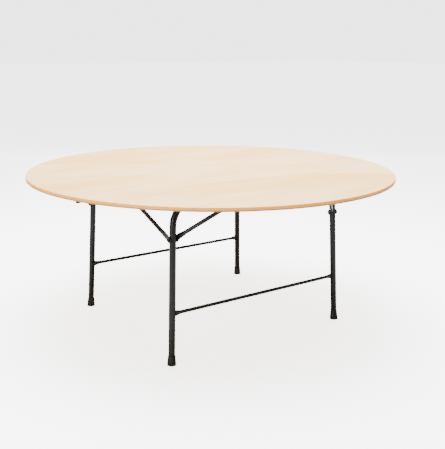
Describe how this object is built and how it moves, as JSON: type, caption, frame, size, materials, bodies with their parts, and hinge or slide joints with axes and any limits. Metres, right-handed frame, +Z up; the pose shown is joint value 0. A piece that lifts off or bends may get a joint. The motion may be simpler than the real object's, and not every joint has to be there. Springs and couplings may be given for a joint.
{
  "type": "folding table",
  "caption": "Large round plywood folding table on two tubular steel leg frames with crossbars, braced by stays that unclip and fold against the legs.",
  "frame": {"origin": "on the floor, under the middle of the top", "axes": "+Z up, +X along the top bars of both leg frames, +Y from the front frame to the rear frame"},
  "size_m": [1.8298, 1.8298, 0.762],
  "materials": {
    "plywood": "clear-sealed birch",
    "powder_coat": "satin black powder coat",
    "black_rubber": "matt moulded",
    "zinc": "bright zinc plate",
    "black_zinc": "black zinc plate"
  },
  "bodies": {
    "top": {"tabletop": "plywood", "bumper_1": "black_rubber", "bumper_2": "black_rubber", "bumper_3": "black_rubber", "bumper_4": "black_rubber", "bumper_screws": "zinc", "saddle_screws": "zinc", "clip_screws": "zinc", "saddle_front_left": "zinc", "saddle_front_middle": "zinc", "saddle_front_right": "zinc", "clip_inner_front_left": "zinc", "clip_outer_front_left": "zinc", "clip_inner_front_right": "zinc", "clip_outer_front_right": "zinc", "saddle_rear_left": "zinc", "saddle_rear_middle": "zinc", "saddle_rear_right": "zinc", "clip_inner_rear_left": "zinc", "clip_outer_rear_left": "zinc", "clip_inner_rear_right": "zinc", "clip_outer_rear_right": "zinc"},
    "front_frame": {"leg_frame_front": "powder_coat", "crossbar_front": "powder_coat", "foot_front_left": "black_rubber", "foot_front_right": "black_rubber", "stay_bolts_front": "black_zinc", "stay_nuts_front": "black_zinc", "stay_washers_front": "black_zinc"},
    "inner_stay_front_left": {"stay_inner_front_left": "powder_coat"},
    "outer_stay_front_left": {"stay_outer_front_left": "powder_coat"},
    "inner_stay_front_right": {"stay_inner_front_right": "powder_coat"},
    "outer_stay_front_right": {"stay_outer_front_right": "powder_coat"},
    "rear_frame": {"leg_frame_rear": "powder_coat", "crossbar_rear": "powder_coat", "foot_rear_left": "black_rubber", "foot_rear_right": "black_rubber", "stay_bolts_rear": "black_zinc", "stay_nuts_rear": "black_zinc", "stay_washers_rear": "black_zinc"},
    "inner_stay_rear_left": {"stay_inner_rear_left": "powder_coat"},
    "outer_stay_rear_left": {"stay_outer_rear_left": "powder_coat"},
    "inner_stay_rear_right": {"stay_inner_rear_right": "powder_coat"},
    "outer_stay_rear_right": {"stay_outer_rear_right": "powder_coat"}
  },
  "joints": [
    {"name": "fold_front", "type": "hinge", "parent": "top", "child": "front_frame", "pos_m": [-0.043, -0.433, 0.7285], "axis": [1, 0, 0], "range_deg": [0, 90]},
    {"name": "swing_inner_front_left", "type": "hinge", "parent": "front_frame", "child": "inner_stay_front_left", "pos_m": [-0.53878, -0.43822, 0.566], "axis": [1, 0, 0], "range_deg": [-127.33, 0]},
    {"name": "swing_outer_front_left", "type": "hinge", "parent": "front_frame", "child": "outer_stay_front_left", "pos_m": [-0.50068, -0.43822, 0.566], "axis": [1, 0, 0], "range_deg": [0, 134.19]},
    {"name": "swing_inner_front_right", "type": "hinge", "parent": "front_frame", "child": "inner_stay_front_right", "pos_m": [0.45278, -0.43822, 0.566], "axis": [1, 0, 0], "range_deg": [-127.33, 0]},
    {"name": "swing_outer_front_right", "type": "hinge", "parent": "front_frame", "child": "outer_stay_front_right", "pos_m": [0.41468, -0.43822, 0.566], "axis": [1, 0, 0], "range_deg": [0, 134.19]},
    {"name": "fold_rear", "type": "hinge", "parent": "top", "child": "rear_frame", "pos_m": [0.031, 0.433, 0.7285], "axis": [-1, 0, 0], "range_deg": [0, 80]},
    {"name": "swing_inner_rear_left", "type": "hinge", "parent": "rear_frame", "child": "inner_stay_rear_left", "pos_m": [-0.46478, 0.43822, 0.566], "axis": [-1, 0, 0], "range_deg": [-127.33, 0]},
    {"name": "swing_outer_rear_left", "type": "hinge", "parent": "rear_frame", "child": "outer_stay_rear_left", "pos_m": [-0.42668, 0.43822, 0.566], "axis": [-1, 0, 0], "range_deg": [0, 108.5]},
    {"name": "swing_inner_rear_right", "type": "hinge", "parent": "rear_frame", "child": "inner_stay_rear_right", "pos_m": [0.52678, 0.43822, 0.566], "axis": [-1, 0, 0], "range_deg": [-127.33, 0]},
    {"name": "swing_outer_rear_right", "type": "hinge", "parent": "rear_frame", "child": "outer_stay_rear_right", "pos_m": [0.48868, 0.43822, 0.566], "axis": [-1, 0, 0], "range_deg": [0, 108.5]}
  ],
  "couplings": [
    {"joint": "swing_inner_front_left", "follows": "fold_front", "ratio": -1.4092},
    {"joint": "swing_outer_front_left", "follows": "fold_front", "ratio": 1.4855},
    {"joint": "swing_inner_front_right", "follows": "fold_front", "ratio": -1.4092},
    {"joint": "swing_outer_front_right", "follows": "fold_front", "ratio": 1.4855},
    {"joint": "swing_inner_rear_left", "follows": "fold_rear", "ratio": -1.5854},
    {"joint": "swing_outer_rear_left", "follows": "fold_rear", "ratio": 1.35},
    {"joint": "swing_inner_rear_right", "follows": "fold_rear", "ratio": -1.5854},
    {"joint": "swing_outer_rear_right", "follows": "fold_rear", "ratio": 1.35}
  ]
}
